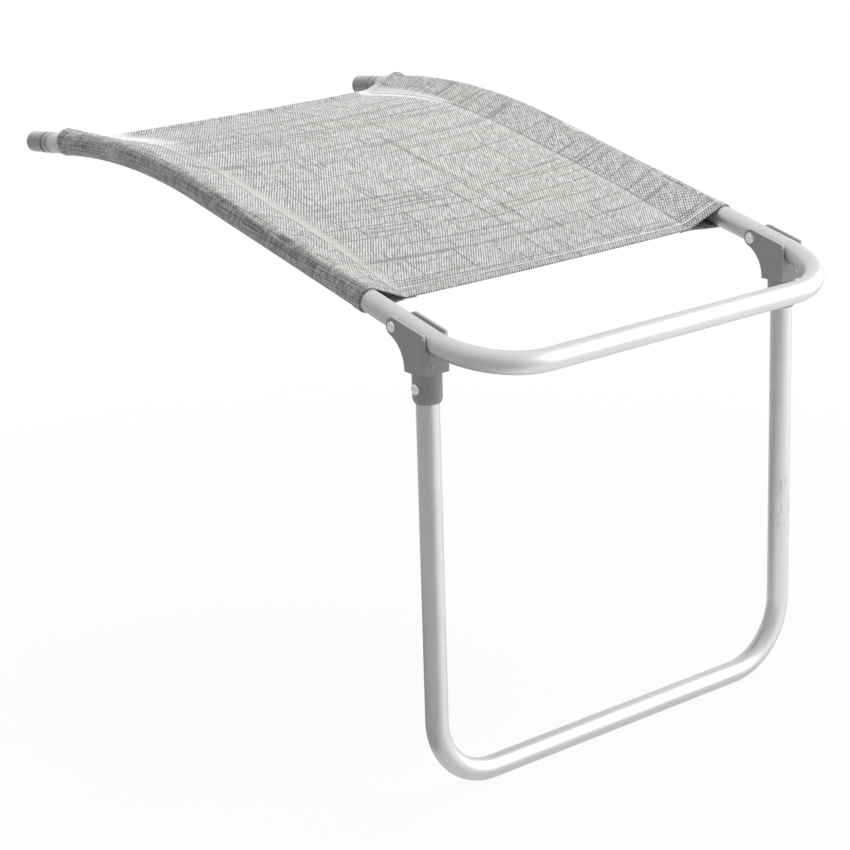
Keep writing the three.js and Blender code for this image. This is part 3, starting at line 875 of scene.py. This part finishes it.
def leg_tube():
    top = PIVOT_Z - LEG_TOP_DROP
    corners = [
        ((-LEG_X, LEG_Y, top), 0, 0),
        ((-LEG_X, LEG_Y, FOOT_Z), LEG_CORNER_RADIUS, 28),
        ((LEG_X, LEG_Y, FOOT_Z), LEG_CORNER_RADIUS, 28),
        ((LEG_X, LEG_Y, top), 0, 0),
    ]
    add_tube("leg_tube_bent", corners, tube_finish, "leg", ["leg_tube"])


left_end, left_outward = seat_tube()
leg_tube()

# ---------------------------------------------------------------- brackets

MOULDING = {
    "WELD": {"merge_threshold": 0.00002},
    "REMESH": {"mode": "VOXEL", "voxel_size": 0.00042},
    "SMOOTH": {"factor": 0.5, "iterations": 2},
    "DECIMATE": {"ratio": 0.3},
}


def round_the_noses(piece, side):
    """Rounds the front ends of the cheeks."""
    count = len(piece.data.vertices)
    places = np.empty(count * 3, np.float32)
    piece.data.vertices.foreach_get("co", places)
    places = places.reshape(-1, 3).astype(float) / MM - FRONT_BAR
    out = np.abs(places[:, 0] - side * LEG_X)
    back = places[:, 1] - (LEG_Y - BLOCK_HALF_LENGTH)
    high = places[:, 2] - PIVOT_Z
    middle = (BRACKET_HALF_WIDTH + CHEEK_GAP / 2) / 2
    half = (BRACKET_HALF_WIDTH - CHEEK_GAP / 2) / 2
    aside = np.clip(np.abs(out - middle) / half, 0.0, 1.0)
    in_cheek = smooth(middle - half - 0.7, middle - half, out)
    reach = half * (1 - np.sqrt(1 - aside**2)) * in_cheek * smooth(-30.0, -20.0, high)
    near = np.clip(1 - back / half, 0.0, 1.0)
    places[:, 1] += reach * near
    piece.data.vertices.foreach_set("co", ((places + FRONT_BAR) * MM).ravel().astype(np.float32))


def moulded_bracket(word, side):
    """The bracket's solid, with the soft edges of a moulding: it is rebuilt on a fine grid
    and its edges are eased."""
    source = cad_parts[f"{word}_bracket"]
    mesh = source.data.copy()
    mesh.name = f"{word}_bracket_moulding"
    mesh.materials.clear()
    mesh.materials.append(bracket_finish)
    piece = add_object(mesh.name, mesh)
    modify(piece, MOULDING)
    round_the_noses(piece, side)
    piece.data.shade_smooth()
    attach(piece, "leg")
    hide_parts(f"{word}_bracket")


for side_word, side_sign in SIDES:
    moulded_bracket(side_word, side_sign)

# ---------------------------------------------------------------- rivets and washers

RIVET_HEAD_RADIUS = 5.2
RIVET_HEAD_HEIGHT = 2.0
RIVET_SHANK_RADIUS = 2.5
WASHER_THICKNESS = 0.8
WASHER_RADIUS = 5.7
WASHER_BORE = 2.8
BLIND_TAIL_RADIUS = 3.5
BORE_FACETS = 20  # flats round the tubes' bores in the solids
# The formed tails: how far past the seat, and the radius there
PIVOT_TAIL = ((0.0, 4.0), (0.7, 4.0), (1.3, 3.5), (1.6, 2.6))
PIVOT_TAIL += ((1.5, 1.9), (0.9, 1.5), (0.0, 1.4), (0.0, 0.0))
BLIND_TAIL = ((0.0, 3.2), (0.4, 3.5), (1.4, 3.5), (2.4, 3.0), (3.0, 2.2), (3.0, 0.0))


def rivet_profile(tail, tail_shape):
    """From the middle of the head outwards: a small sunk ring, the dome, then the shank down
    to the tail."""
    points = [(1.35, 0.0), (1.3, 0.7), (1.5, 0.95), (1.92, 1.15), (1.98, 1.5), (1.94, 1.8)]
    rim = 0.35
    for k in range(1, 11):
        angle = math.radians(20 + 65 * k / 10)
        share = math.sin(angle) / math.sin(math.radians(85))
        high = rim + (RIVET_HEAD_HEIGHT - rim) * math.cos(angle) ** 0.9
        points.append((high, RIVET_HEAD_RADIUS * share))
    points += [(0.1, RIVET_HEAD_RADIUS), (0.0, RIVET_HEAD_RADIUS - 0.12)]
    points += [(0.0, RIVET_SHANK_RADIUS), (tail, RIVET_SHANK_RADIUS)]
    return points + [(tail - beyond, radius) for beyond, radius in tail_shape]


def add_rivets():
    half = WASHER_THICKNESS / 2
    washer = [(-half, WASHER_BORE), (half, WASHER_BORE), (half, WASHER_RADIUS)]
    washer += [(-half, WASHER_RADIUS), (-half, WASHER_BORE)]
    washer = rounded(washer, 0.25, 3)
    pivot_tail = -2 * BRACKET_HALF_WIDTH - 3 * FIT - WASHER_THICKNESS
    bore = math.sqrt(BORE_RADIUS**2 - BLIND_TAIL_RADIUS**2) * math.cos(math.pi / BORE_FACETS)
    blind_tail = bore - COLLAR_RADIUS - 2 * FIT
    pivot_rivet = rivet_profile(pivot_tail, PIVOT_TAIL)
    leg_rivet = rivet_profile(blind_tail, BLIND_TAIL)
    pivot = (PIVOT_Y, PIVOT_Z)
    low = (LEG_Y, PIVOT_Z - BLOCK_DROP - LEG_RIVET_DROP)
    for word, side in SIDES:
        for node, profile, out, at, body in (
            ("pivot_rivet", pivot_rivet, BRACKET_HALF_WIDTH + FIT, pivot, "seat"),
            ("pivot_washer", washer, -BRACKET_HALF_WIDTH - FIT - half, pivot, "seat"),
            ("leg_rivet", leg_rivet, COLLAR_RADIUS + FIT, low, "leg"),
        ):
            place = (side * (LEG_X + out), *at)
            add_turned(f"{word}_{node}", profile, place, (side, 0, 0), rivet_finish, body)


add_rivets()

# ---------------------------------------------------------------- end plugs

PLUG_RADIUS = 11.3
PLUG_COLLAR = 7.3
PLUG_GROOVE = 4.0
PLUG_GROOVE_RADIUS = 10.0
PLUG_NOSE = 28.5
PLUG_EDGE = 3.0
PLUG_DISH_RADIUS = 5.1
PLUG_DISH_DEPTH = 0.5
PLUG_SHANK_RADIUS = 9.2
PLUG_SHANK_LENGTH = 18.0


def add_plugs():
    collar = FIT + PLUG_COLLAR
    groove = collar + PLUG_GROOVE
    reach = groove + PLUG_NOSE
    dish = reach - PLUG_DISH_DEPTH
    body = [(dish, 0.0), (dish, PLUG_DISH_RADIUS - 0.5), (reach, PLUG_DISH_RADIUS)]
    for k in range(9):
        angle = math.radians(90 * k / 8)
        back, inwards = PLUG_EDGE * (1 - math.cos(angle)), PLUG_EDGE * (1 - math.sin(angle))
        body.append((reach - back, PLUG_RADIUS - inwards))
    rest = [(reach - 2 * PLUG_EDGE, PLUG_RADIUS), (groove, PLUG_RADIUS)]
    rest += [(groove, PLUG_GROOVE_RADIUS), (collar, PLUG_GROOVE_RADIUS)]
    rest += [(collar, PLUG_RADIUS), (FIT, PLUG_RADIUS), (FIT, PLUG_SHANK_RADIUS)]
    rest += [(-PLUG_SHANK_LENGTH, PLUG_SHANK_RADIUS), (-PLUG_SHANK_LENGTH, 0.0)]
    body += rounded(rest, 0.5, 4)
    for word, side in SIDES:
        mirror = np.array([-side, 1.0, 1.0])
        place, outward = left_end * mirror, left_outward * mirror
        add_turned(f"{word}_end_plug", body, place, outward, plug_finish, "seat", 72)


add_plugs()

# ---------------------------------------------------------------- sling

CLOTH = 0.8
RAIL_GAP = 0.4
SLEEVE_RADIUS = TUBE_RADIUS + RAIL_GAP + CLOTH / 2
ALLOWANCE = 13.0
PANEL_COLUMNS = 44
SLOPE_COLUMNS = 9
ROUND_COLUMNS = 34
ALLOWANCE_COLUMNS = 5
CLOTH_ROWS = 118
PANEL_SAG = 1.2
HEM_DEPTH = 11.0
HEM_LIFT = 0.7
FOLD_RADIUS = 0.45
WEFT_BOW = 13.0
PANEL_HALF_WIDTH = 190.0
REAR_SEAM_DROP = 3.5


def seam_height(length):
    share = max((SLING_FRONT + SEAM_DROP_LENGTH - length) / SEAM_DROP_LENGTH, 0.0)
    rear = float(smooth(SLING_REAR - 130, SLING_REAR, length))
    return SEAM_RISE - SEAM_DROP * share * share - REAR_SEAM_DROP * rear


def half_profile(length):
    """The cloth's middle line from the middle of the panel to the turned-in edge under it:
    points (out from the middle, height above the rail's axis), the way that faces out at
    each, and how far along the line it lies."""
    y, _, _ = rail_at(length)
    centre = rail_x(y)
    seam = seam_height(length)
    seam_x = centre - SEAM_INSET
    reach = math.hypot(SEAM_INSET, seam)
    towards = math.atan2(seam, SEAM_INSET)
    spread = math.pi - math.acos(SLEEVE_RADIUS / reach)
    # The panel lies over the turned-in edge at the seam
    upper, lower = CLOTH * 0.4, -CLOTH * 0.75
    points = []
    for k in range(PANEL_COLUMNS + 1):
        share = k / PANEL_COLUMNS
        lift = upper * smooth(seam_x - ALLOWANCE - 4, seam_x - ALLOWANCE, seam_x * share)
        points.append((seam_x * share, seam - PANEL_SAG * (1 - share * share) + lift))
    first = spread - towards
    angles = first - 2 * spread * np.arange(ROUND_COLUMNS + 1) / ROUND_COLUMNS
    sleeve = [
        (centre + SLEEVE_RADIUS * math.cos(angle), SLEEVE_RADIUS * math.sin(angle))
        for angle in angles
    ]

    def slope(start, end):
        for k in range(1, SLOPE_COLUMNS):
            share = k / SLOPE_COLUMNS
            points.append(tuple(a + (b - a) * share for a, b in zip(start, end)))

    slope((seam_x, seam + upper), sleeve[0])
    points.extend(sleeve)
    slope(sleeve[-1], (seam_x, seam + lower))
    for k in range(ALLOWANCE_COLUMNS + 1):
        share = ALLOWANCE * k / ALLOWANCE_COLUMNS
        inner = (seam_x - share) / seam_x
        points.append((seam_x - share, seam + lower - PANEL_SAG * (1 - inner * inner)))
    points = np.array(points)
    steps = np.gradient(points, axis=0)
    steps /= np.linalg.norm(steps, axis=1)[:, None]
    outside = np.stack([-steps[:, 1], steps[:, 0]], -1)
    return points, outside, way_along(points)


REAR_ROLL = ((677.0, 0.6), (680.0, 2.2), (682.5, 3.4), (685.0, 3.9), (686.6, 3.2))


def cloth_stations():
    """(length along the rail, height above the cloth's middle line) for each row of points."""
    rows = []
    front = SLING_FRONT + FOLD_RADIUS + CLOTH / 2
    rear = SLING_REAR - FOLD_RADIUS - CLOTH / 2
    for k in range(5):
        length = front + HEM_DEPTH * (1 - k / 5)
        rows.append((length, HEM_LIFT - 2 * FOLD_RADIUS))
    for k in range(7):
        angle = math.radians(-90 + 30 * k)
        lift = HEM_LIFT - FOLD_RADIUS + FOLD_RADIUS * math.sin(angle)
        rows.append((front - FOLD_RADIUS * math.cos(angle), lift))
    for k in range(1, CLOTH_ROWS):
        length = front + (rear - front) * k / CLOTH_ROWS
        lift = HEM_LIFT * (1 - smooth(front + HEM_DEPTH - 1, front + HEM_DEPTH + 3, length))
        rows.append((length, float(lift)))
    rows = [row for row in rows if row[0] < REAR_ROLL[0][0] - 2.0]
    rows += list(REAR_ROLL)
    rows += [(rear, 1.2), (rear, 0.6), (rear - 1.2, 0.1), (rear - 3.5, 0.0)]
    return rows


def weft_bow(way, along):
    """How far the crosswise yarns lie nearer the front at the middle of the panel."""
    rise = float(smooth(10.0, 120.0, along))
    return WEFT_BOW * rise * max(1 - (way / PANEL_HALF_WIDTH) ** 2, -0.6)


def add_sling():
    verts, marks = [], []
    stations = cloth_stations()
    along = 0.0
    before = None
    for length, lift in stations:
        points, outside, run = half_profile(length)
        y, z, heading = rail_at(length)
        # The rolled rear hem is bunched on top of the rail
        bunch = 1.0
        if length >= REAR_ROLL[0][0]:
            bunch = np.clip(0.45 + 0.6 * outside[:, 1:], 0.1, 1.0)
        moved = points + outside * lift * bunch
        seam_run = run[PANEL_COLUMNS]
        if before is not None:
            along += math.hypot(length - before[0], lift - before[1])
        before = (length, lift)
        half = []
        for (out, high), way in zip(moved, run):
            half.append((out, y - high * math.sin(heading), z + high * math.cos(heading), way))
        left = [(-x, row_y, row_z, -way) for x, row_y, row_z, way in half[:0:-1]]
        for x, row_y, row_z, way in left + half:
            verts.append((x, row_y, row_z))
            marks.append((way, along + weft_bow(way, along), seam_run - abs(way)))
    faces = grid_faces(len(stations), 2 * len(half) - 1)
    piece = add_piece("sling_cloth", verts, faces, mesh_finish, "seat", ["sling"])
    set_attribute(piece, "cloth", marks)
    modify(piece, {"SOLIDIFY": {"thickness": CLOTH * MM, "offset": 0.0}})
    piece.data.shade_smooth()
    piece.data.set_sharp_from_angle(angle=math.radians(60))
    return piece


def surface_point(side, length, way, lift):
    """A point on the cloth at an arc length from the middle of the panel, and its normal."""
    points, outside, run = half_profile(length)
    x = np.interp(way, run, points[:, 0])
    high = np.interp(way, run, points[:, 1])
    normal = [np.interp(way, run, outside[:, 0]), np.interp(way, run, outside[:, 1])]
    normal = unit(np.array(normal))
    x, high = x + normal[0] * lift, high + normal[1] * lift
    y, z, heading = rail_at(length)
    place = np.array([side * x, y - high * math.sin(heading), z + high * math.cos(heading)])
    up = np.array([side * normal[0], -normal[1] * math.sin(heading), normal[1] * math.cos(heading)])
    return place, up


def stitch_line(places, ups, pitch, length, width, height):
    """Small rounded stitches along a line of points, sunk a little at both ends."""
    places, ups = np.array(places), np.array(ups)
    run = way_along(places)

    def at(way):
        place = np.array([np.interp(way, run, places[:, i]) for i in range(3)])
        return place, unit(np.array([np.interp(way, run, ups[:, i]) for i in range(3)]))

    verts, faces = [], []
    sides, rings = 6, 5
    for n in range(int(run[-1] // pitch)):
        start = n * pitch
        base = len(verts)
        for r in range(rings):
            share = r / (rings - 1)
            place, up = at(start + length * share)
            ahead, _ = at(start + length * share + 0.2)
            behind, _ = at(start + length * share - 0.2)
            along = (ahead - behind) / max(np.linalg.norm(ahead - behind), 1e-9)
            across = np.cross(along, up)
            swell = math.sin(math.pi * (0.12 + 0.76 * share))
            centre = place + up * (height * (swell - 0.75))
            radius = width / 2 * (0.55 + 0.45 * swell)
            for k in range(sides):
                angle = 2 * math.pi * k / sides
                spoke = across * math.cos(angle) + up * math.sin(angle)
                verts.append(centre + spoke * radius)
        faces += grid_faces(rings, sides, closed_columns=True, base=base)
        faces.append(tuple(range(base + sides - 1, base - 1, -1)))
        faces.append(tuple(range(base + (rings - 1) * sides, base + rings * sides)))
    return verts, faces


def add_stitching():
    pieces = []
    groups = {"hem_stitching": ([], []), "seam_stitching": ([], [])}

    def put(group, line, **sizes):
        verts, faces = stitch_line(*zip(*line), **sizes)
        base = len(groups[group][0])
        groups[group][0].extend(verts)
        groups[group][1].extend(tuple(base + i for i in face) for face in faces)

    surface = CLOTH / 2 + 0.12
    hem_end = SLING_FRONT + HEM_DEPTH
    for _, side in SIDES:
        for offset in (-0.9, 1.5):
            line = []
            for length in np.linspace(SLING_FRONT + 1.5, SLING_REAR - 9.0, 160):
                _, _, run = half_profile(length)
                lift = HEM_LIFT * (1 - float(smooth(hem_end - 1, hem_end + 4, length)))
                way = run[PANEL_COLUMNS] - offset + (LEFT_SEAM_SHIFT if side < 0 else 0.0)
                line.append(surface_point(side, length, way, surface + lift))
            put("seam_stitching", line, pitch=3.4, length=2.8, width=0.5, height=0.2)
    # The front hem's stitches are tight on the left and stand out over the rest
    for at, lift, first, end, width in (
        (SLING_FRONT + 9.5, HEM_LIFT, -math.inf, -80.0, 0.9),
        (SLING_FRONT + 9.5, HEM_LIFT, -80.0, math.inf, 1.8),
        (SLING_REAR - 11.0, 0.0, -math.inf, math.inf, 1.0),
    ):
        _, _, run = half_profile(at)
        last = run[PANEL_COLUMNS + SLOPE_COLUMNS] + 3.0
        line = [
            surface_point(-1 if way < 0 else 1, at, abs(way), surface + lift)
            for way in np.linspace(max(-last, first), min(last, end), 420)
        ]
        put("hem_stitching", line, pitch=3.3, length=3.2, width=width, height=0.2)
    for name, (verts, faces) in groups.items():
        finish = thread_finish if name == "hem_stitching" else seam_thread_finish
        pieces.append(add_piece(name, verts, faces, finish, "seat"))
    return pieces


sling = add_sling()
stitching = add_stitching()
